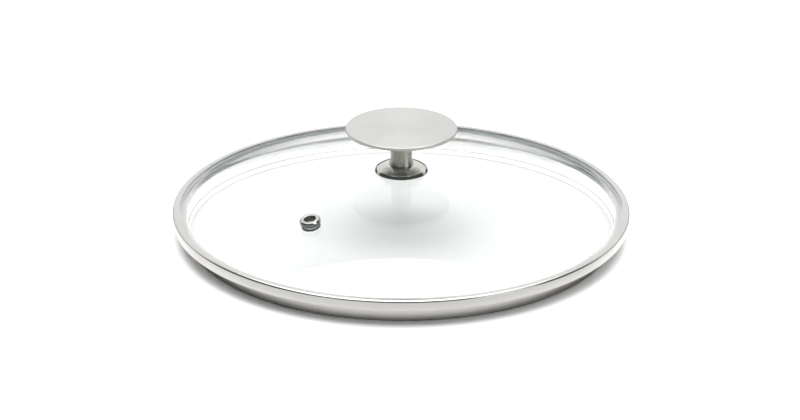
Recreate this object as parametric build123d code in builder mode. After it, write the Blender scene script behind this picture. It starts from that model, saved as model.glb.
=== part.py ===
from build123d import *
import os
from math import cos, radians, sin, sqrt

# Glass lid for a 24 cm pan: a domed tempered-glass disc held in a rolled steel rim,
# a flat disc knob on a stem, bolted through the middle, and a small steam vent.
# Millimetres. Z is the lid's axis and the knob's; z = 0 is the skirt's bottom edge.

# ---------------------------------------------------------------- driving dimensions

# rim: one strip of stainless steel rolled into a channel with a skirt below it
strip_thickness = 0.6
rim_radius = 126.5
rim_top = 15.5
hem_inner_radius = 122.8
skirt_radius = 118.0
fold_height = 2.8
fold_gap = 0.05
top_bend = 1.0
crease_bend = 0.45
skirt_bend = 0.6

# bedding: a silicone channel between the strip and the edge of the glass
seal_thickness = 0.5
seal_upper_radius = 124.2
seal_lower_radius = 122.2
seal_upper_bend = 0.5
seal_lower_bend = 0.4

# glass: a spherical dome that flattens into a brim, which sits in the bedding
glass_thickness = 4.0
glass_radius = 125.3
glass_edge_round = 1.9
apex = 37.0
brim_corner = 120.1
brim_blend = 12.0
bolt_hole_radius = 5.0

# knob
knob_top = 62.7
disc_radius = 30.7
disc_thickness = 1.9
disc_edge_round = 0.45
stem_radius = 6.0
foot_radius = 6.6
foot_height = 1.1
foot_chamfer = 0.6
base_radius = 14.8
base_bottom = 37.2
base_bevel_radius = 13.9
base_bevel_top = 38.9
base_top = 41.2
base_crown_radius = 12.7
base_edge_round = 0.15
recess_radius = 12.5
recess_top = 38.4
upper_spigot_radius = 4.0
upper_spigot_height = 0.6
lower_spigot_radius = 4.45
spigot_gap = 0.05
thread_bore_radius = 2.5
thread_bore_top = 52.0

# knob fixing: low-head M5 x 16 screw, its washer, and the silicone that cushions the glass
screw_radius = 2.4
screw_length = 16.0
screw_tip_chamfer = 0.5
head_radius = 4.6
head_height = 1.7
head_round = 0.9
cross_slot_width = 1.3
cross_slot_span = 5.2
cross_slot_depth = 1.2
silicone_bore_radius = 2.8
gasket_radius = 12.2
bush_flange_radius = 7.8
bush_flange_thickness = 0.6
bush_flange_gap = 0.15
bush_sleeve_radius = 4.8
bush_sleeve_top = 36.8
washer_radius = 7.0
washer_bore_radius = 2.65
washer_thickness = 0.6

# vent: a turned eyelet through the glass, out towards the front left
vent_distance = 73.0
vent_azimuth = 228.0
vent_bore_radius = 3.25
vent_tube_radius = 4.0
vent_head_radius = 5.7
vent_head_height = 2.0
vent_head_bevel = 0.8
vent_hole_radius = 4.5
vent_gasket_height = 0.7
vent_gasket_radius = 5.3
vent_seat_gap = 0.1
vent_flange_height = 0.4
vent_bush_radius = 5.2
vent_washer_height = 0.4
vent_washer_radius = 5.2
vent_ring_gap = 0.06
vent_lip_height = 0.3
vent_lip_radius = 4.8

# ---------------------------------------------------------------- values worked out

ledge_height = rim_top - strip_thickness - 2 * seal_thickness - glass_thickness
brim_top = rim_top - strip_thickness - seal_thickness
brim_bottom = brim_top - glass_thickness
rise = apex - brim_top
dome_radius = (brim_corner**2 + rise**2) / (2 * rise)
dome_centre = apex - dome_radius


def dome_height(radius, depth=0.0):
    """Height of the dome at a radius, or of the sphere that lies a depth inside it."""
    return dome_centre + sqrt((dome_radius - depth) ** 2 - radius**2)


underside_corner = sqrt((dome_radius - glass_thickness) ** 2 - (brim_bottom - dome_centre) ** 2)

disc_bottom = knob_top - disc_thickness
bush_flange_top = apex - glass_thickness - bush_flange_gap
bush_flange_bottom = bush_flange_top - bush_flange_thickness
washer_bottom = bush_flange_bottom - washer_thickness
head_bottom = washer_bottom - head_height

# the vent stands square to the glass, so its axis leans away from the lid's
vent_x = vent_distance * cos(radians(vent_azimuth))
vent_y = vent_distance * sin(radians(vent_azimuth))
vent_point = Vector(vent_x, vent_y, dome_height(vent_distance))
vent_normal = (vent_point - Vector(0, 0, dome_centre)).normalized()
vent_across = Vector(0, 0, 1).cross(vent_normal).normalized()
vent_axis = Axis(vent_point, vent_normal)
vent_seat = Plane(origin=vent_point, x_dir=vent_across, z_dir=vent_normal)
vent_section = Plane(origin=vent_point, x_dir=vent_across, z_dir=vent_across.cross(vent_normal))
vent_under_glass = -glass_thickness - vent_seat_gap
vent_under_bush = vent_under_glass - vent_flange_height
vent_under_washer = vent_under_bush - vent_washer_height

os.makedirs("parts", exist_ok=True)

# ---------------------------------------------------------------- rim and glass

# The strip's middle line, from the hem on the glass round to the folded bottom edge.
wall_line = rim_radius - strip_thickness / 2
skirt_line = skirt_radius - strip_thickness / 2
fold_line = skirt_line - strip_thickness - fold_gap
fold_bend = (skirt_line - fold_line) / 2
with BuildPart() as rim_ring:
    with BuildSketch(Plane.XZ):
        with BuildLine():
            FilletPolyline(
                (hem_inner_radius, rim_top - strip_thickness / 2),
                (wall_line, rim_top - strip_thickness / 2),
                (wall_line, ledge_height - strip_thickness / 2),
                (skirt_line, ledge_height - strip_thickness / 2),
                (skirt_line, strip_thickness / 2),
                (fold_line, strip_thickness / 2),
                (fold_line, fold_height),
                radius=[top_bend, crease_bend, skirt_bend, fold_bend * 0.98, fold_bend * 0.98],
            )
        trace(line_width=strip_thickness)
    revolve(axis=Axis.Z)
rim_ring.part.label = "rim_ring"
export_step(rim_ring.part, "parts/rim_ring.step")

seal_line = rim_radius - strip_thickness - seal_thickness / 2
with BuildPart() as rim_seal:
    with BuildSketch(Plane.XZ):
        with BuildLine():
            FilletPolyline(
                (seal_upper_radius, brim_top + seal_thickness / 2),
                (seal_line, brim_top + seal_thickness / 2),
                (seal_line, brim_bottom - seal_thickness / 2),
                (seal_lower_radius, brim_bottom - seal_thickness / 2),
                radius=[seal_upper_bend, seal_lower_bend],
            )
        trace(line_width=seal_thickness)
    revolve(axis=Axis.Z)
rim_seal.part.label = "rim_seal"
export_step(rim_seal.part, "parts/rim_seal.step")

with BuildPart() as glass_dome:
    with BuildSketch(Plane.XZ) as section:
        with BuildLine():
            crown = (bolt_hole_radius + brim_corner) / 2
            ThreePointArc(
                (bolt_hole_radius, dome_height(bolt_hole_radius)),
                (crown, dome_height(crown)),
                (brim_corner, brim_top),
            )
            Polyline(
                (brim_corner, brim_top),
                (glass_radius, brim_top),
                (glass_radius, brim_bottom),
                (underside_corner, brim_bottom),
            )
            ThreePointArc(
                (underside_corner, brim_bottom),
                (crown, dome_height(crown, glass_thickness)),
                (bolt_hole_radius, dome_height(bolt_hole_radius, glass_thickness)),
            )
            Line(
                (bolt_hole_radius, dome_height(bolt_hole_radius, glass_thickness)),
                (bolt_hole_radius, dome_height(bolt_hole_radius)),
            )
        make_face()
        fillet(section.vertices().group_by(Axis.X)[-1], radius=glass_edge_round)
        fillet(section.vertices().sort_by_distance((brim_corner, brim_top))[0], radius=brim_blend)
        fillet(
            section.vertices().sort_by_distance((underside_corner, brim_bottom))[0],
            radius=brim_blend + glass_thickness,
        )
    revolve(axis=Axis.Z)
    with Locations(vent_seat):
        Hole(radius=vent_hole_radius)
glass_dome.part.label = "glass_dome"
export_step(glass_dome.part, "parts/glass_dome.step")

# ---------------------------------------------------------------- knob

with BuildPart() as knob_disc:
    with BuildSketch(Plane.XY.offset(disc_bottom)):
        Circle(disc_radius)
    extrude(amount=disc_thickness)
    fillet(knob_disc.edges(), radius=disc_edge_round)
    with BuildSketch(Plane.XY.offset(disc_bottom)):
        Circle(upper_spigot_radius + spigot_gap)
    extrude(amount=upper_spigot_height + spigot_gap, mode=Mode.SUBTRACT)
knob_disc.part.label = "knob_disc"
export_step(knob_disc.part, "parts/knob_disc.step")

# A shoulder at each end: the disc sits on the upper one, the lower one on the base.
with BuildPart() as knob_stem:
    with BuildSketch(Plane.XZ):
        with BuildLine():
            Polyline(
                (thread_bore_radius, recess_top),
                (lower_spigot_radius, recess_top),
                (lower_spigot_radius, base_top),
                (foot_radius, base_top),
                (foot_radius, base_top + foot_height),
                (stem_radius, base_top + foot_height + foot_chamfer),
                (stem_radius, disc_bottom),
                (upper_spigot_radius, disc_bottom),
                (upper_spigot_radius, disc_bottom + upper_spigot_height),
                (0, disc_bottom + upper_spigot_height),
                (0, thread_bore_top),
                (thread_bore_radius, thread_bore_top - thread_bore_radius),
                close=True,
            )
        make_face()
    revolve(axis=Axis.Z)
knob_stem.part.label = "knob_stem"
export_step(knob_stem.part, "parts/knob_stem.step")

# A bevelled collar with a domed top, recessed underneath for the silicone washer.
with BuildPart() as knob_base:
    with BuildSketch(Plane.XZ) as section:
        with BuildLine():
            Polyline(
                (base_bevel_radius, base_bevel_top),
                (base_radius, base_bottom),
                (recess_radius, base_bottom),
                (recess_radius, recess_top),
                (lower_spigot_radius + spigot_gap, recess_top),
                (lower_spigot_radius + spigot_gap, base_top),
                (foot_radius, base_top),
            )
            RadiusArc(
                (foot_radius, base_top),
                (base_bevel_radius, base_bevel_top),
                radius=base_crown_radius,
            )
        make_face()
        fillet(section.vertices().group_by(Axis.X)[-1], radius=base_edge_round)
    revolve(axis=Axis.Z)
knob_base.part.label = "knob_base"
export_step(knob_base.part, "parts/knob_base.step")

# ---------------------------------------------------------------- knob fixing

# Silicone washer between the collar and the dome; its underside follows the glass.
with BuildPart() as knob_gasket:
    with BuildSketch(Plane.XZ):
        with BuildLine():
            Polyline(
                (gasket_radius, dome_height(gasket_radius)),
                (gasket_radius, recess_top),
                (silicone_bore_radius, recess_top),
                (silicone_bore_radius, dome_height(silicone_bore_radius)),
            )
            RadiusArc(
                (silicone_bore_radius, dome_height(silicone_bore_radius)),
                (gasket_radius, dome_height(gasket_radius)),
                radius=dome_radius,
            )
        make_face()
    revolve(axis=Axis.Z)
knob_gasket.part.label = "knob_gasket"
export_step(knob_gasket.part, "parts/knob_gasket.step")

# Flanged silicone bush: it lines the hole and lies flat under the glass.
with BuildPart() as knob_bush:
    with BuildSketch(Plane.XY.offset(bush_flange_bottom)):
        Circle(bush_flange_radius)
    extrude(amount=bush_flange_thickness)
    with BuildSketch(Plane.XY.offset(bush_flange_top)):
        Circle(bush_sleeve_radius)
    extrude(amount=bush_sleeve_top - bush_flange_top)
    with Locations((0, 0, bush_sleeve_top)):
        Hole(radius=silicone_bore_radius)
knob_bush.part.label = "knob_bush"
export_step(knob_bush.part, "parts/knob_bush.step")

with BuildPart() as knob_washer:
    with BuildSketch(Plane.XY.offset(washer_bottom)):
        Circle(washer_radius)
        Circle(washer_bore_radius, mode=Mode.SUBTRACT)
    extrude(amount=washer_thickness)
knob_washer.part.label = "knob_washer"
export_step(knob_washer.part, "parts/knob_washer.step")

with BuildPart() as knob_screw:
    with BuildSketch(Plane.XY.offset(head_bottom)):
        Circle(head_radius)
    extrude(amount=head_height)
    fillet(knob_screw.edges().sort_by(Axis.Z)[0], radius=head_round)
    with BuildSketch(Plane.XY.offset(washer_bottom)):
        Circle(screw_radius)
    extrude(amount=screw_length)
    chamfer(knob_screw.edges().sort_by(Axis.Z)[-1], length=screw_tip_chamfer)
    with BuildSketch(Plane.XY.offset(head_bottom)):
        Rectangle(cross_slot_span, cross_slot_width)
        Rectangle(cross_slot_width, cross_slot_span)
    extrude(amount=cross_slot_depth, taper=12, mode=Mode.SUBTRACT)
knob_screw.part.label = "knob_screw"
export_step(knob_screw.part, "parts/knob_screw.step")

# ---------------------------------------------------------------- vent

# Turned eyelet: a bevelled head above the glass, a tube through it, a flared lip below.
with BuildPart() as vent_eyelet:
    with BuildSketch(vent_section) as section:
        with BuildLine():
            Polyline(
                (vent_bore_radius, vent_gasket_height + vent_head_height),
                (vent_head_radius - vent_head_bevel, vent_gasket_height + vent_head_height),
                (vent_head_radius, vent_gasket_height + vent_head_height - vent_head_bevel),
                (vent_head_radius, vent_gasket_height),
                (vent_tube_radius, vent_gasket_height),
                (vent_tube_radius, vent_under_washer),
                (vent_lip_radius, vent_under_washer),
                (vent_lip_radius, vent_under_washer - vent_lip_height),
                (vent_bore_radius, vent_under_washer - vent_lip_height),
                close=True,
            )
        make_face()
        chamfer(section.vertices().group_by(Axis.X)[0].sort_by(Axis.Y)[-1], length=vent_head_bevel / 2)
    revolve(axis=vent_axis)
vent_eyelet.part.label = "vent_eyelet"
export_step(vent_eyelet.part, "parts/vent_eyelet.step")

with BuildPart() as vent_gasket:
    with BuildSketch(vent_seat):
        Circle(vent_gasket_radius)
        Circle(vent_tube_radius + vent_ring_gap, mode=Mode.SUBTRACT)
    extrude(amount=vent_gasket_height)
vent_gasket.part.label = "vent_gasket"
export_step(vent_gasket.part, "parts/vent_gasket.step")

# Silicone bush between the tube and the glass, with a flange underneath.
with BuildPart() as vent_bush:
    with BuildSketch(vent_seat.offset(vent_under_bush)):
        Circle(vent_bush_radius)
        Circle(vent_tube_radius + vent_ring_gap, mode=Mode.SUBTRACT)
    extrude(amount=vent_flange_height)
    with BuildSketch(vent_seat.offset(vent_under_glass)):
        Circle(vent_hole_radius - vent_ring_gap)
        Circle(vent_tube_radius + vent_ring_gap, mode=Mode.SUBTRACT)
    extrude(amount=glass_thickness)
vent_bush.part.label = "vent_bush"
export_step(vent_bush.part, "parts/vent_bush.step")

with BuildPart() as vent_washer:
    with BuildSketch(vent_seat.offset(vent_under_washer)):
        Circle(vent_washer_radius)
        Circle(vent_tube_radius + vent_ring_gap, mode=Mode.SUBTRACT)
    extrude(amount=vent_washer_height)
vent_washer.part.label = "vent_washer"
export_step(vent_washer.part, "parts/vent_washer.step")
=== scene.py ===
import math

import bmesh
import bpy
from mathutils import Matrix, Vector


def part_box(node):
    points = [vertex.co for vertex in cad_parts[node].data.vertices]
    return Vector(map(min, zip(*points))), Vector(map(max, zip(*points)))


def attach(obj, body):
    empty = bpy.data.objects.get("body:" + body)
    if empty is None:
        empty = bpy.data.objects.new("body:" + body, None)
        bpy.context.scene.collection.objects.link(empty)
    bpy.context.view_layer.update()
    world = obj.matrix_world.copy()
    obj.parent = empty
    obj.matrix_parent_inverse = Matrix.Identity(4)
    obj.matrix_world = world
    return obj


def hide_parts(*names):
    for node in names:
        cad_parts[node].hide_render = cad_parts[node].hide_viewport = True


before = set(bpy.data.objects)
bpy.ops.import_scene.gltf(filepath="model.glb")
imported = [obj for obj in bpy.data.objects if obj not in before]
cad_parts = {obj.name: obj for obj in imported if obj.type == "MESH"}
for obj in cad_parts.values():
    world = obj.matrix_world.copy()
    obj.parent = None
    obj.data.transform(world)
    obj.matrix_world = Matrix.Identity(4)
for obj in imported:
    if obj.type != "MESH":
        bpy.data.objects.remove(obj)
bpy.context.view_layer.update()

# A glass pan lid: domed glass in a rolled steel rim, a disc knob screwed on through it, a vent.
# Outlines are in millimetres, as (distance from the axis, height); meshes are in metres.

MM = 0.001
TURN = 2 * math.pi
ARC_STEP = math.radians(9)
LAID_ON = 0.02  # gap between pieces that touch, so that glass and what it meets don't share a face


# ------------------------------------------------------------------ sizes, read from the frame

def top(node):
    """Highest point of a node, in millimetres."""
    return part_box(node)[1].z / MM


def bottom(node):
    """Lowest point of a node, in millimetres."""
    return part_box(node)[0].z / MM


def reach(node):
    """Largest distance from the lid's axis, in millimetres."""
    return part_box(node)[1].x / MM


STRIP = 0.6
GLASS = 4.0
RIM_RADIUS = reach("rim_ring")
RIM_TOP = top("rim_ring")
HEM_INNER = 122.8
SKIRT_RADIUS = 118.0
FOLD_HEIGHT = 2.8
FOLD_GAP = 0.05
SEAL = 0.5
SEAL_UPPER = 124.2
SEAL_LOWER = 122.2
BRIM_TOP = RIM_TOP - STRIP - SEAL
BRIM_BOTTOM = BRIM_TOP - GLASS
LEDGE_TOP = BRIM_BOTTOM - SEAL
BRIM_CORNER = 120.1
BRIM_BLEND = 12.0
GLASS_EDGE = 1.85
BOLT_HOLE = 5.0
APEX = 37.0
RISE = APEX - BRIM_TOP
DOME_RADIUS = (BRIM_CORNER**2 + RISE**2) / (2 * RISE)
DOME_CENTRE = APEX - DOME_RADIUS

STEM_RADIUS = 6.0
FOOT_RADIUS = reach("knob_stem")
COLLAR_TOP = top("knob_base")
COLLAR_BOTTOM = bottom("knob_base")
RECESS_TOP = bottom("knob_stem")
DISC_BOTTOM = bottom("knob_disc")
BUSH_BOTTOM = bottom("knob_bush")
SCREW_BORE = 2.8
WASHER_BOTTOM = bottom("knob_washer")
WASHER_HOLE = 2.65
PITCH = 0.8

STEM_SPIGOT = 4.45
BOSS_RADIUS = 4.0
SHOULDER = (13.9, 38.9)
COLLAR_CROWN = 12.7
COLLAR_RECESS = 12.5
BUSH_SLEEVE = 4.8
BUSH_FLANGE = 0.6
SCREW_HEAD = 4.6

# The vent's own heights are along the glass's normal, from the glass's upper face.
VENT_DISTANCE = 73.0
VENT_AZIMUTH = math.radians(228)
VENT_BORE = 3.25
VENT_TUBE = 4.0
VENT_HOLE = 4.5
VENT_HEAD_RADIUS = 5.7
VENT_HEAD_LOW = 0.7
VENT_HEAD_HIGH = 2.7
VENT_SEAL_RADIUS = 5.3
VENT_RING_RADIUS = 5.2
VENT_FLANGE_TOP = -4.1
VENT_FLANGE_LOW = -4.5
VENT_LIP_TOP = -4.9
VENT_LIP_LOW = -5.2


def dome_height(radius, depth=0.0):
    """Height of the dome at a distance from the axis, or of the sphere a depth inside it."""
    return DOME_CENTRE + math.sqrt((DOME_RADIUS - depth) ** 2 - radius**2)


VENT_POINT = Vector((
    VENT_DISTANCE * math.cos(VENT_AZIMUTH),
    VENT_DISTANCE * math.sin(VENT_AZIMUTH),
    dome_height(VENT_DISTANCE),
))
VENT_NORMAL = (VENT_POINT - Vector((0, 0, DOME_CENTRE))).normalized()
VENT_TILT = VENT_NORMAL.to_track_quat("Z", "Y").to_matrix().to_4x4()
VENT_PLACE = Matrix.Translation(VENT_POINT * MM) @ VENT_TILT


# ------------------------------------------------------------------ outlines and meshes

def arc(centre, radius, start, end, steps=None):
    """Points on an arc, from one angle to another."""
    steps = steps or max(3, math.ceil(abs(end - start) / ARC_STEP))
    angles = (start + (end - start) * i / steps for i in range(steps + 1))
    return [centre + radius * Vector((math.cos(a), math.sin(a))) for a in angles]


def rounded(corners, closed=True):
    """An outline through corners given as (distance, height, radius), each rounded by its radius."""
    path = []
    last = len(corners) - 1
    for i, (x, y, radius) in enumerate(corners):
        here = Vector((x, y))
        if radius == 0 or (not closed and i in (0, last)):
            path.append(here)
            continue
        back = (Vector(corners[i - 1][:2]) - here).normalized()
        ahead = (Vector(corners[(i + 1) % len(corners)][:2]) - here).normalized()
        half = back.angle(ahead) / 2
        centre = here + (back + ahead).normalized() * radius / math.sin(half)
        first = here + back * radius / math.tan(half) - centre
        final = here + ahead * radius / math.tan(half) - centre
        start = math.atan2(first.y, first.x)
        sweep = first.angle_signed(final) * -1
        path += arc(centre, radius, start, start + sweep)
    return path


def sheet_outline(middle, thickness):
    """The closed outline of a sheet that follows an open middle line."""
    sides = ([], [])
    for i, point in enumerate(middle):
        ahead = (middle[min(i + 1, len(middle) - 1)] - middle[max(i - 1, 0)]).normalized()
        across = Vector((-ahead.y, ahead.x)) * thickness / 2
        sides[0].append(point + across)
        sides[1].append(point - across)
    return sides[0] + sides[1][::-1]


def new_object(name, vertices, faces, place):
    """A mesh object from vertices in millimetres, in the place that a matrix gives."""
    mesh = bpy.data.meshes.new(name)
    mesh.from_pydata([Vector(v) * MM for v in vertices], [], faces)
    mesh.validate()
    piece = bpy.data.objects.new(name, mesh)
    bpy.context.scene.collection.objects.link(piece)
    piece.matrix_world = place
    return piece


def shade(piece, sharp_degrees=40):
    """Smooth shading that stays flat on large faces and breaks at sharp edges."""
    mesh = piece.data
    mesh.shade_smooth()
    mesh.set_sharp_from_angle(angle=math.radians(sharp_degrees))
    modifier = piece.modifiers.new("even_normals", "WEIGHTED_NORMAL")
    modifier.keep_sharp = True
    modifier.weight = 80


def lathe(name, outline, place=Matrix.Identity(4), segments=128):
    """Turns a closed outline about the local Z axis. Points on the axis become one pole each."""
    vertices, faces, rings = [], [], []
    for point in outline:
        if point.x < 1e-6:
            rings.append([len(vertices)] * segments)
            vertices.append((0, 0, point.y))
            continue
        rings.append(list(range(len(vertices), len(vertices) + segments)))
        for i in range(segments):
            angle = TURN * i / segments
            vertices.append((point.x * math.cos(angle), point.x * math.sin(angle), point.y))
    for k, ring in enumerate(rings):
        other = rings[(k + 1) % len(rings)]
        if len(set(ring)) == 1 and len(set(other)) == 1:
            continue
        for i in range(segments):
            j = (i + 1) % segments
            corners = (ring[i], ring[j], other[j], other[i])
            faces.append(tuple(dict.fromkeys(corners)))
    piece = new_object(name, vertices, faces, place)
    outward(piece)
    shade(piece)
    return piece


def outward(piece):
    """Turns every face to point out of the closed mesh."""
    work = bmesh.new()
    work.from_mesh(piece.data)
    bmesh.ops.recalc_face_normals(work, faces=work.faces)
    work.to_mesh(piece.data)
    work.free()


def cut(piece, cutter):
    """Takes the cutter away from the piece, and removes the cutter."""
    modifier = piece.modifiers.new("cut", "BOOLEAN")
    modifier.operation = "DIFFERENCE"
    modifier.solver = "EXACT"
    modifier.object = cutter
    for other in piece.modifiers:
        if other != modifier:
            other.show_viewport = False
    bpy.context.view_layer.update()
    result = piece.evaluated_get(bpy.context.evaluated_depsgraph_get())
    mesh = bpy.data.meshes.new_from_object(result)
    piece.modifiers.clear()
    piece.data = mesh
    bpy.data.objects.remove(cutter)
    shade(piece)


# ------------------------------------------------------------------ materials

class Shader:
    """A node material under construction, with short calls for its nodes."""

    def __init__(self, name):
        self.material = bpy.data.materials.new(name)
        self.material.use_nodes = True
        self.tree = self.material.node_tree
        self.main = self.tree.nodes["Principled BSDF"]
        self.output = self.tree.nodes["Material Output"]

    def node(self, kind, inputs=None, **settings):
        made = self.tree.nodes.new("ShaderNode" + kind)
        for name, value in settings.items():
            setattr(made, name, value)
        for key, value in (inputs or {}).items():
            self.put(made.inputs[key], value)
        return made

    def put(self, socket, value):
        if isinstance(value, bpy.types.NodeSocket):
            self.tree.links.new(value, socket)
        else:
            socket.default_value = value

    def math(self, operation, first, second=0.0):
        return self.node("Math", {0: first, 1: second}, operation=operation).outputs[0]

    def principled(self, **values):
        for name, value in values.items():
            self.put(self.main.inputs[name.replace("_", " ").title().replace("Ior", "IOR")], value)

    def ramp(self, value, low, high, low_value, high_value):
        """Maps a value from one range to another."""
        made = self.node("MapRange", {"Value": value, "From Min": low, "From Max": high,
                                      "To Min": low_value, "To Max": high_value})
        return made.outputs["Result"]

    def noise(self, vector, scale, detail=2.0, roughness=0.5):
        made = self.node("TexNoise", {"Vector": vector, "Scale": scale, "Detail": detail,
                                      "Roughness": roughness})
        return made.outputs["Fac"]

    def place(self):
        return self.node("TexCoord").outputs["Object"]

    def turned(self, along, across):
        """Coordinates for marks that run round the Z axis: long along it, fine across it."""
        parts = self.node("SeparateXYZ", {0: self.place()})
        x, y, z = parts.outputs
        distance = self.math("POWER", self.math("ADD", self.math("MULTIPLY", x, x),
                                                self.math("MULTIPLY", y, y)), 0.5)
        safe = self.math("MAXIMUM", distance, 1e-5)
        rings = self.math("MULTIPLY", self.math("ADD", distance, z), across)
        return self.node("CombineXYZ", {
            0: rings,
            1: self.math("MULTIPLY", self.math("DIVIDE", x, safe), along),
            2: self.math("MULTIPLY", self.math("DIVIDE", y, safe), along),
        }).outputs[0]

    def tint(self, factor, first, second):
        made = self.node("Mix", data_type="RGBA")
        self.put(made.inputs[0], factor)
        for key, value in ((6, first), (7, second)):
            self.put(made.inputs[key], value if isinstance(value, bpy.types.NodeSocket) else (*value, 1))
        return made.outputs[2]

    def bump(self, height, distance, strength=1.0):
        inputs = {"Height": height, "Distance": distance, "Strength": strength}
        return self.node("Bump", inputs).outputs["Normal"]


def steel(name, colour, worn, roughness, anisotropy, grain, grain_depth, smudge=0.05):
    """Stainless steel with marks that run round its axis, faint smudges and uneven wear."""
    s = Shader(name)
    marks = s.noise(s.turned(9.0, grain), 1.0, detail=4.0, roughness=0.65)
    smears = s.noise(s.place(), 38.0, detail=5.0, roughness=0.6)
    rough = s.math("ADD", s.ramp(marks, 0.3, 0.7, roughness - 0.04, roughness + 0.05),
                   s.ramp(smears, 0.35, 0.75, -smudge / 2, smudge / 2))
    s.principled(
        base_color=s.tint(s.ramp(smears, 0.3, 0.75, 0.0, 1.0), colour, worn),
        metallic=1.0,
        roughness=s.math("MAXIMUM", rough, 0.02),
        anisotropic=anisotropy,
        normal=s.bump(marks, grain_depth * MM),
    )
    if anisotropy:
        tangent = s.node("Tangent", direction_type="RADIAL", axis="Z").outputs[0]
        s.principled(tangent=tangent, anisotropic_rotation=0.25)
    return s.material


def tempered_glass():
    """Clear glass with a faint cool tint. Lamps' rays pass through it, dimmed."""
    s = Shader("tempered_glass")
    waves = s.noise(s.place(), 22.0, detail=1.0)
    film = s.noise(s.place(), 60.0, detail=6.0, roughness=0.7)
    s.principled(
        base_color=(0.94, 0.958, 0.955, 1),
        transmission_weight=1.0,
        ior=1.5,
        roughness=s.ramp(film, 0.55, 0.8, 0.0, 0.03),
        normal=s.bump(waves, 0.02 * MM, 0.3),
    )
    through = s.node("BsdfTransparent", {"Color": (0.66, 0.68, 0.68, 1)})
    rays = s.node("LightPath")
    mixed = s.node("MixShader", {0: rays.outputs["Is Shadow Ray"]})
    s.tree.links.new(s.main.outputs[0], mixed.inputs[1])
    s.tree.links.new(through.outputs[0], mixed.inputs[2])
    s.tree.links.new(mixed.outputs[0], s.output.inputs["Surface"])
    return s.material


def silicone(name, deep, pale):
    """Moulded silicone: matte, with a faint mottle and a fine moulded grain."""
    s = Shader(name)
    mottle = s.noise(s.place(), 420.0, detail=4.0)
    grain = s.noise(s.place(), 2600.0, detail=2.0)
    s.principled(
        base_color=s.tint(mottle, deep, pale),
        roughness=s.ramp(mottle, 0.3, 0.7, 0.5, 0.66),
        normal=s.bump(grain, 0.02 * MM),
    )
    return s.material


# The ground's colour for each kind of ray, with painted light and painted shade: brighter or darker copies
# of one white ground, by kind of ray and by distance from the lid's axis. Levels above 1 are brighter than
# a real surface.
GROUND_SEEN = (1.5, 1.5, 1.5)  # by the camera
GROUND_PAINTED_SHADE_THROUGH_GLASS = (0.75, 0.735, 0.73)  # by the camera, through the glass: painted shade
GROUND_PAINTED_SHADE_REFLECTED = (0.67, 0.67, 0.665)  # in steel outside the glass, and by scattered light: painted shade, dimmer than the ground seen
GROUND_PAINTED_LIGHT_BY_RIM = (1.15, 1.15, 1.135)  # in steel outside the glass, close round the rim: painted light
GROUND_PAINTED_SHADOW_AT_SKIRT = (0.45, 0.45, 0.45)  # in steel outside the glass, at the skirt's foot: painted shadow of the rim
GROUND_PAINTED_SHADE_IN_BORE = (0.15, 0.15, 0.15)  # in steel, after two or more reflections: painted shade, mostly in the eyelet's bore
GROUND_PAINTED_LIGHT_UNDER_GLASS = (2.4, 2.4, 2.4)  # in steel that is under the glass: painted light
GROUND_PAINTED_KNOB_SHADOW = (0.25, 0.25, 0.24)  # in steel over the glass, which looks down through it: painted shadow of the knob
GROUND_PAINTED_LIGHT_PAST_KNOB = (1.7, 1.7, 1.7)  # the same after two reflections, away from the knob: painted light


def ground_with_painted_light_and_shade():
    """A white ground, not a plain one, with painted light and painted shade: its level depends on the kind
    of ray, and on distance.
    """
    s = Shader("ground_with_painted_light_and_shade")
    s.tree.nodes.remove(s.main)
    rays = s.node("LightPath")
    from_glass = rays.outputs["Is Transmission Ray"]
    behind_glass = s.math("GREATER_THAN", rays.outputs["Transmission Depth"], 0.5)
    mirrored = s.math("GREATER_THAN", rays.outputs["Glossy Depth"], 0.5)
    mirrored_twice = s.math("GREATER_THAN", rays.outputs["Glossy Depth"], 1.5)
    scattered = s.math("GREATER_THAN", rays.outputs["Diffuse Depth"], 0.5)
    distance = s.node("VectorMath", {0: s.place()}, operation="LENGTH").outputs["Value"]
    # painted knob shadow near the axis and painted light beyond it, in the mirror image of steel over the
    # glass
    past_knob = s.ramp(distance, 0.055, 0.09, 0.0, 1.0)
    # painted shadow at the skirt's foot and painted light close round the rim, by distance from the axis,
    # seen only in steel
    past_skirt = s.ramp(distance, 0.117, 0.128, 0.0, 1.0)
    past_rim = s.ramp(distance, 0.138, 0.152, 0.0, 1.0)
    # painted shade: the ground seen through the glass is a darker copy of the ground seen directly
    direct = s.tint(from_glass, GROUND_SEEN, GROUND_PAINTED_SHADE_THROUGH_GLASS)
    painted_rim_light_and_shadow = s.tint(past_skirt, GROUND_PAINTED_SHADOW_AT_SKIRT, GROUND_PAINTED_LIGHT_BY_RIM)
    outside = s.tint(past_rim, painted_rim_light_and_shadow, GROUND_PAINTED_SHADE_REFLECTED)
    # painted light: steel under the glass sees a brighter copy of the ground
    beside = s.tint(behind_glass, outside, GROUND_PAINTED_LIGHT_UNDER_GLASS)
    # painted knob shadow in the collar and stem, which look down through the glass
    once = s.tint(from_glass, beside, GROUND_PAINTED_KNOB_SHADOW)
    # painted shade after two or more reflections outside the glass; painted light under the glass
    inside = s.tint(behind_glass, GROUND_PAINTED_SHADE_IN_BORE, GROUND_PAINTED_LIGHT_UNDER_GLASS)
    painted_knob_shadow_and_light = s.tint(past_knob, GROUND_PAINTED_KNOB_SHADOW, GROUND_PAINTED_LIGHT_PAST_KNOB)
    twice = s.tint(from_glass, inside, painted_knob_shadow_and_light)
    reflected = s.tint(mirrored_twice, once, twice)
    # painted shade: scattered light sees the dimmer copy of the ground
    colour = s.tint(scattered, s.tint(mirrored, direct, reflected), GROUND_PAINTED_SHADE_REFLECTED)
    shown = s.node("BsdfDiffuse", {"Color": colour})
    s.tree.links.new(shown.outputs[0], s.output.inputs["Surface"])
    return s.material


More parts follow.
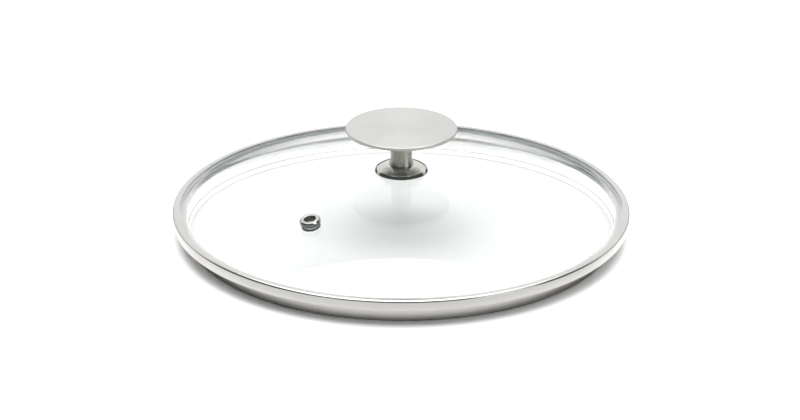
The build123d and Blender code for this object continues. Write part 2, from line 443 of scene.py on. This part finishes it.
RIM_STEEL = steel("rim_steel", (0.635, 0.625, 0.61), (0.58, 0.57, 0.555), 0.22, 0.6, 2600.0, 0.006)
DISC_STEEL = steel("brushed_knob_steel", (0.62, 0.615, 0.6), (0.57, 0.565, 0.55), 0.33, 0.45, 3800.0, 0.01)
STEM_STEEL = steel("satin_stem_steel", (0.53, 0.52, 0.475), (0.46, 0.45, 0.41), 0.3, 0.7, 3000.0, 0.006)
BRIGHT_STEEL = steel("polished_steel", (0.6, 0.6, 0.565), (0.55, 0.55, 0.515), 0.06, 0.0, 1500.0, 0.0006,
                     smudge=0.03)
BOLT_STEEL = steel("fastener_steel", (0.56, 0.56, 0.55), (0.46, 0.46, 0.45), 0.34, 0.0, 2200.0, 0.006)
CLEAR_GLASS = tempered_glass()
SILICONE = silicone("silicone", (0.028, 0.029, 0.03), (0.06, 0.061, 0.062))
BEDDING = silicone("bedding_silicone", (0.62, 0.63, 0.63), (0.72, 0.73, 0.73))


# ------------------------------------------------------------------ pieces

def finish_piece(piece, node, body, material):
    """Gives a piece its material and its place in the frame."""
    piece.data.materials.clear()
    piece.data.materials.append(material)
    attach(piece, body)
    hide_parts(node)


def rim():
    """One strip, rolled round the glass edge, with a ledge, a skirt and a folded bottom edge."""
    wall = RIM_RADIUS - STRIP / 2
    ledge = LEDGE_TOP - STRIP / 2
    skirt = SKIRT_RADIUS - STRIP / 2
    fold = skirt - STRIP - FOLD_GAP
    fold_bend = (skirt - fold) / 2 * 0.98
    middle = rounded([
        (HEM_INNER, RIM_TOP - STRIP / 2, 0),
        (wall, RIM_TOP - STRIP / 2, 1.0),
        (wall, ledge, 0.45),
        (skirt, ledge, 0.6),
        (skirt, STRIP / 2, fold_bend),
        (fold, STRIP / 2, fold_bend),
        (fold, FOLD_HEIGHT, 0),
    ], closed=False)
    piece = lathe("rolled_rim", sheet_outline(middle, STRIP), segments=360)
    finish_piece(piece, "rim_ring", "lid", RIM_STEEL)


def rim_bedding():
    """The silicone channel between the strip and the edge of the glass."""
    line = reach("rim_seal") - SEAL / 2
    middle = rounded([
        (SEAL_UPPER, BRIM_TOP + SEAL / 2, 0),
        (line, BRIM_TOP + SEAL / 2, 0.5),
        (line, BRIM_BOTTOM - SEAL / 2, 0.4),
        (SEAL_LOWER, BRIM_BOTTOM - SEAL / 2, 0),
    ], closed=False)
    piece = lathe("rim_bedding", sheet_outline(middle, SEAL - LAID_ON), segments=360)
    finish_piece(piece, "rim_seal", "lid", BEDDING)


def dome():
    """The glass: two spheres a glass thickness apart, blended into a flat brim with a ground edge."""
    blend_height = BRIM_TOP + BRIM_BLEND
    both = DOME_RADIUS + BRIM_BLEND
    blend_centre = Vector((math.sqrt(both**2 - (blend_height - DOME_CENTRE) ** 2), blend_height))
    lean = math.atan2(blend_centre.x, blend_height - DOME_CENTRE)
    middle = Vector((0, DOME_CENTRE))
    up = math.pi / 2
    edge = reach("glass_dome")

    def surface(depth):
        first = math.asin(BOLT_HOLE / (DOME_RADIUS - depth))
        crown = arc(middle, DOME_RADIUS - depth, up - first, up - lean, steps=90)
        foot = arc(blend_centre, BRIM_BLEND + depth, -up - lean, -up, steps=10)
        return crown + foot[1:]

    over = surface(LAID_ON)
    under = surface(GLASS - LAID_ON)
    rim_edge = rounded([
        (over[-1].x, over[-1].y, 0),
        (edge, over[-1].y, GLASS_EDGE),
        (edge, under[-1].y, GLASS_EDGE),
        (under[-1].x, under[-1].y, 0),
    ], closed=False)
    outline = over + rim_edge[1:-1] + under[::-1]
    piece = lathe("dome_glass", outline, segments=288)
    past = 10
    corners = [(0, past, 0), (VENT_HOLE, past, 0), (VENT_HOLE, -past, 0), (0, -past, 0)]
    drill = lathe("drill", rounded(corners), VENT_PLACE, segments=72)
    cut(piece, drill)
    finish_piece(piece, "glass_dome", "lid", CLEAR_GLASS)


def knob():
    """The disc, the stem and the collar."""
    disc_radius = reach("knob_disc")
    disc_top = top("knob_disc")
    disc = lathe("grip_disc", rounded([
        (0, disc_top, 0),
        (disc_radius, disc_top, 0.45),
        (disc_radius, DISC_BOTTOM, 0.45),
        (BOSS_RADIUS + 0.05, DISC_BOTTOM, 0.1),
        (BOSS_RADIUS + 0.05, DISC_BOTTOM + 0.65, 0.1),
        (0, DISC_BOTTOM + 0.65, 0),
    ]), segments=256)
    finish_piece(disc, "knob_disc", "knob", DISC_STEEL)

    stem_top = top("knob_stem")
    bore = 2.5
    bore_end = 49.5
    bore_tip = 52.0
    stem = lathe("turned_stem", rounded([
        (bore, RECESS_TOP, 0.1),
        (STEM_SPIGOT, RECESS_TOP, 0.2),
        (STEM_SPIGOT, COLLAR_TOP, 0.05),
        (FOOT_RADIUS, COLLAR_TOP, 0.25),
        (FOOT_RADIUS, COLLAR_TOP + 1.1, 0.35),
        (STEM_RADIUS, COLLAR_TOP + 1.9, 0.8),
        (STEM_RADIUS, DISC_BOTTOM, 0.15),
        (BOSS_RADIUS, DISC_BOTTOM, 0.05),
        (BOSS_RADIUS, stem_top, 0.15),
        (0, stem_top, 0),
        (0, bore_tip, 0),
        (bore, bore_end, 0.1),
    ]), segments=128)
    finish_piece(stem, "knob_stem", "knob", STEM_STEEL)

    edge = reach("knob_base") + 0.08
    shoulder = Vector(SHOULDER)
    foot = Vector((FOOT_RADIUS, COLLAR_TOP))
    chord = shoulder - foot
    crown = COLLAR_CROWN
    inward = Vector((chord.y, -chord.x)).normalized() * math.sqrt(crown**2 - chord.length**2 / 4)
    centre = (foot + shoulder) / 2 + inward
    spoke = foot - centre
    start = math.atan2(spoke.y, spoke.x)
    sweep = 2 * math.asin(chord.length / 2 / crown)
    dome_line = arc(centre, crown, start, start - sweep, steps=12)
    rest = rounded([
        (shoulder.x, shoulder.y, 0),
        (edge, COLLAR_BOTTOM, 0.12),
        (COLLAR_RECESS, COLLAR_BOTTOM, 0.15),
        (COLLAR_RECESS, RECESS_TOP, 0.15),
        (STEM_SPIGOT + 0.05, RECESS_TOP, 0.1),
        (STEM_SPIGOT + 0.05, COLLAR_TOP, 0),
    ], closed=False)
    collar = lathe("polished_collar", dome_line + rest[1:], segments=192)
    finish_piece(collar, "knob_base", "knob", BRIGHT_STEEL)


def knob_silicone():
    """The washer between collar and glass, and the bush that lines the hole under it."""
    inner, outer = SCREW_BORE, reach("knob_gasket")
    washer = lathe("collar_washer", rounded([
        (inner, dome_height(inner) + LAID_ON, 0.1),
        (outer, dome_height(outer) + LAID_ON, 0.3),
        (outer, RECESS_TOP - LAID_ON, 0.2),
        (inner, RECESS_TOP - LAID_ON, 0.1),
    ]), segments=128)
    finish_piece(washer, "knob_gasket", "lid", SILICONE)

    flange = reach("knob_bush")
    bush = lathe("bolt_bush", rounded([
        (inner, BUSH_BOTTOM, 0.15),
        (flange, BUSH_BOTTOM, 0.2),
        (flange, BUSH_BOTTOM + BUSH_FLANGE, 0.15),
        (BUSH_SLEEVE, BUSH_BOTTOM + BUSH_FLANGE, 0.1),
        (BUSH_SLEEVE, top("knob_bush"), 0.25),
        (inner, top("knob_bush"), 0.1),
    ]), segments=128)
    finish_piece(bush, "knob_bush", "lid", SILICONE)


def ring(name, inner, outer, low, high, edge, place=Matrix.Identity(4)):
    """A flat washer with rounded edges."""
    return lathe(name, rounded([
        (inner, low, edge),
        (outer, low, edge),
        (outer, high, edge),
        (inner, high, edge),
    ]), place, segments=128)


def fixings():
    """The steel washer and the screw."""
    washer = ring("flat_washer", WASHER_HOLE, reach("knob_washer"), WASHER_BOTTOM,
                  BUSH_BOTTOM - LAID_ON, 0.15)
    finish_piece(washer, "knob_washer", "fixing", BOLT_STEEL)
    bolt = screw("cross_screw")
    finish_piece(bolt, "knob_screw", "fixing", BOLT_STEEL)


def screw(name):
    """A low-head screw with a cross recess and a rolled thread, one mesh."""
    head = bottom("knob_screw")
    tip = top("knob_screw")
    radius = 2.4
    root = 2.02
    plain_shank = 1.6
    tip_chamfer = 0.45
    plain_tip = 0.5
    segments = 64
    head_line = rounded([
        (0, head, 0),
        (SCREW_HEAD, head, 0.9),
        (SCREW_HEAD, WASHER_BOTTOM - LAID_ON, 0.12),
        (radius, WASHER_BOTTOM - LAID_ON, 0),
    ], closed=False)
    rows = [(p.x, p.y, False) for p in head_line]
    run_out = WASHER_BOTTOM + plain_shank
    height = run_out
    rows.append((radius, run_out - PITCH, False))
    while height < tip - plain_tip:
        rows.append((radius, height, True))
        height += PITCH / 10
    rows += [(radius - tip_chamfer, tip, False), (0, tip, False)]
    vertices, faces, rings = [], [], []
    for distance, height, threaded in rows:
        if distance == 0:
            rings.append([len(vertices)] * segments)
            vertices.append((0, 0, height))
            continue
        rings.append(list(range(len(vertices), len(vertices) + segments)))
        for i in range(segments):
            angle = TURN * i / segments
            deep = 0.0
            if threaded:
                phase = (height / PITCH - i / segments) % 1.0
                flank = min(1.0, max(0.0, abs(phase - 0.5) * 2.6 - 0.25))
                ease = min(1.0, (height - run_out) / PITCH)
                deep = (radius - root) * flank * ease
            outer = distance - deep
            vertices.append((outer * math.cos(angle), outer * math.sin(angle), height))
    for ring_low, ring_high in zip(rings, rings[1:]):
        for i in range(segments):
            j = (i + 1) % segments
            faces.append(tuple(dict.fromkeys((ring_low[i], ring_low[j], ring_high[j], ring_high[i]))))
    piece = new_object(name, vertices, faces, Matrix.Identity(4))
    outward(piece)
    shade(piece)
    cut(piece, cross_recess(head))
    return piece


def cross_recess(head):
    """The tapered cross of the driver's recess, as a cutter."""
    wide = 2.6
    narrow = 0.65
    floor_share = 0.7
    depth = 1.2
    past_face = 0.5
    plus = [(wide, narrow), (narrow, narrow), (narrow, wide), (-narrow, wide), (-narrow, narrow),
            (-wide, narrow), (-wide, -narrow), (-narrow, -narrow), (-narrow, -wide),
            (narrow, -wide), (narrow, -narrow), (wide, -narrow)]
    vertices = [(x, y, head - past_face) for x, y in plus]
    vertices += [(x * floor_share, y * floor_share, head + depth) for x, y in plus]
    count = len(plus)
    faces = [tuple(range(count)), tuple(range(count, 2 * count))]
    faces += [(k, (k + 1) % count, (k + 1) % count + count, k + count) for k in range(count)]
    cutter = new_object("recess", vertices, faces, Matrix.Identity(4))
    outward(cutter)
    return cutter


def vent():
    """The turned eyelet with its flared lower lip, and the rings round it."""
    eyelet = lathe("turned_eyelet", rounded([
        (VENT_BORE, VENT_HEAD_HIGH, 0.35),
        (4.9, VENT_HEAD_HIGH, 0.3),
        (VENT_HEAD_RADIUS, VENT_HEAD_HIGH - 0.8, 0.3),
        (VENT_HEAD_RADIUS, VENT_HEAD_LOW, 0.15),
        (VENT_TUBE, VENT_HEAD_LOW, 0.05),
        (VENT_TUBE, VENT_LIP_TOP, 0.1),
        (4.8, VENT_LIP_TOP, 0.1),
        (4.75, VENT_LIP_LOW, 0.12),
        (VENT_BORE, VENT_LIP_LOW, 0.3),
    ]), VENT_PLACE, segments=128)
    finish_piece(eyelet, "vent_eyelet", "lid", BRIGHT_STEEL)
    tube = VENT_TUBE + 0.06
    seal = ring("eyelet_seal", tube, VENT_SEAL_RADIUS, LAID_ON, VENT_HEAD_LOW - LAID_ON, 0.2, VENT_PLACE)
    finish_piece(seal, "vent_gasket", "lid", SILICONE)
    sleeve = VENT_HOLE - 0.06
    bush = lathe("eyelet_bush", rounded([
        (tube, VENT_FLANGE_LOW, 0.1),
        (VENT_RING_RADIUS, VENT_FLANGE_LOW, 0.15),
        (VENT_RING_RADIUS, VENT_FLANGE_TOP, 0.1),
        (sleeve, VENT_FLANGE_TOP, 0.05),
        (sleeve, -0.1, 0.1),
        (tube, -0.1, 0.1),
    ]), VENT_PLACE, segments=128)
    finish_piece(bush, "vent_bush", "lid", SILICONE)
    washer = ring("eyelet_washer", tube, VENT_RING_RADIUS, VENT_LIP_TOP + LAID_ON,
                  VENT_FLANGE_LOW - LAID_ON, 0.12, VENT_PLACE)
    finish_piece(washer, "vent_washer", "lid", BOLT_STEEL)


rim()
rim_bedding()
dome()
knob()
knob_silicone()
fixings()
vent()


# ------------------------------------------------------------------ ground, light and camera

def ground(radius=0.6, segments=96):
    """A round white table top under the lid, whose material paints light and shade."""
    sunk = -0.05
    angles = [TURN * i / segments for i in range(segments)]
    edge = [(radius / MM * math.cos(angle), radius / MM * math.sin(angle), sunk) for angle in angles]
    table = new_object("white_table", edge, [tuple(range(segments))], Matrix.Identity(4))
    table.data.materials.append(ground_with_painted_light_and_shade())


def softbox(name, centre, size_x, size_y, radiance, target):
    """A rectangular soft light that faces a point, as bright as its radiance says."""
    lamp = bpy.data.lights.new(name, "AREA")
    lamp.shape = "RECTANGLE"
    lamp.size = size_x
    lamp.size_y = size_y
    lamp.energy = radiance * math.pi * size_x * size_y
    holder = bpy.data.objects.new(name, lamp)
    bpy.context.scene.collection.objects.link(holder)
    holder.location = centre
    holder.rotation_euler = (Vector(centre) - target).to_track_quat("Z", "Y").to_euler()
    return holder


SEEN_LEVEL = 1.15
ROOM_LEVEL = 0.08
BACKDROP_LEVEL = 1.05
SCREEN_LEVEL = 2.4
SCREEN_DIRECTION = Vector((0.8, -0.58, 0.14))


def studio():
    """White where the camera sees it. In reflections, a backdrop, a screen at the right and a dim room."""
    world = bpy.data.worlds.new("studio")
    bpy.context.scene.world = world
    world.use_nodes = True
    tree = world.node_tree
    tree.nodes.clear()

    def node(kind, inputs=None, **settings):
        made = tree.nodes.new("ShaderNode" + kind)
        for name, value in settings.items():
            setattr(made, name, value)
        for key, value in (inputs or {}).items():
            if isinstance(value, bpy.types.NodeSocket):
                tree.links.new(value, made.inputs[key])
            else:
                made.inputs[key].default_value = value
        return made

    def smooth(value, low, high, low_value, high_value):
        return node("MapRange", {"Value": value, "From Min": low, "From Max": high,
                                 "To Min": low_value, "To Max": high_value},
                    interpolation_type="SMOOTHSTEP").outputs["Result"]

    direction = node("SeparateXYZ", {0: node("TexCoord").outputs["Generated"]})
    towards_back, height = direction.outputs[1], direction.outputs[2]
    lifted = smooth(height, 0.06, 0.2, 0.0, 1.0)
    backdrop = smooth(towards_back, 0.2, 0.6, 0.0, BACKDROP_LEVEL)
    towards_screen = node("VectorMath", {0: node("TexCoord").outputs["Generated"], 1: SCREEN_DIRECTION},
                          operation="DOT_PRODUCT").outputs["Value"]
    screen = smooth(towards_screen, 0.93, 0.97, 0.0, SCREEN_LEVEL)
    brightest = node("Math", {0: backdrop, 1: screen}, operation="MAXIMUM").outputs[0]
    level = node("Math", {0: lifted, 1: brightest, 2: ROOM_LEVEL}, operation="MULTIPLY_ADD")
    rays = node("LightPath")
    bounced = node("Math", {0: rays.outputs["Glossy Depth"], 1: rays.outputs["Diffuse Depth"]},
                   operation="ADD").outputs[0]
    seen = node("Math", {0: bounced, 1: 0.5}, operation="LESS_THAN").outputs[0]
    strength = node("Mix", {0: seen, 2: level.outputs[0], 3: SEEN_LEVEL}, data_type="FLOAT").outputs[0]
    sky = node("Background", {"Color": (1, 1, 1, 1), "Strength": strength})
    out = node("OutputWorld")
    tree.links.new(sky.outputs[0], out.inputs["Surface"])


def camera():
    """Seen from in front, 23 degrees up, through a long lens."""
    distance = 16 * RIM_RADIUS * MM
    elevation = math.radians(23.1)
    aim_left = 0.66
    aim_down = 1.1
    middle = Vector((0, 0, 14.5 * MM))
    away = Vector((0, -math.cos(elevation), math.sin(elevation)))
    up = Vector((0, math.sin(elevation), math.cos(elevation)))
    right = Vector((1, 0, 0))
    eye = middle + away * distance
    aim = middle - right * aim_left * MM - up * aim_down * MM
    lens = bpy.data.cameras.new("camera")
    lens.sensor_width = 36
    lens.lens = 164.4
    lens.clip_start = 0.05
    holder = bpy.data.objects.new("camera", lens)
    bpy.context.scene.collection.objects.link(holder)
    holder.location = eye
    turn = (eye - aim).to_track_quat("Z", "Y")
    roll = Matrix.Rotation(math.radians(0.17), 4, "Z")
    holder.rotation_euler = (turn.to_matrix().to_4x4() @ roll).to_euler()
    bpy.context.scene.camera = holder


ground()
softbox("overhead_softbox", Vector((0, -0.055, 1.1)), 1.56, 1.39, 3.0, Vector((0, -0.055, 0)))
studio()
camera()

scene = bpy.context.scene
scene.view_settings.view_transform = "Standard"
scene.cycles.max_bounces = 24
scene.cycles.transmission_bounces = 16
scene.cycles.glossy_bounces = 8
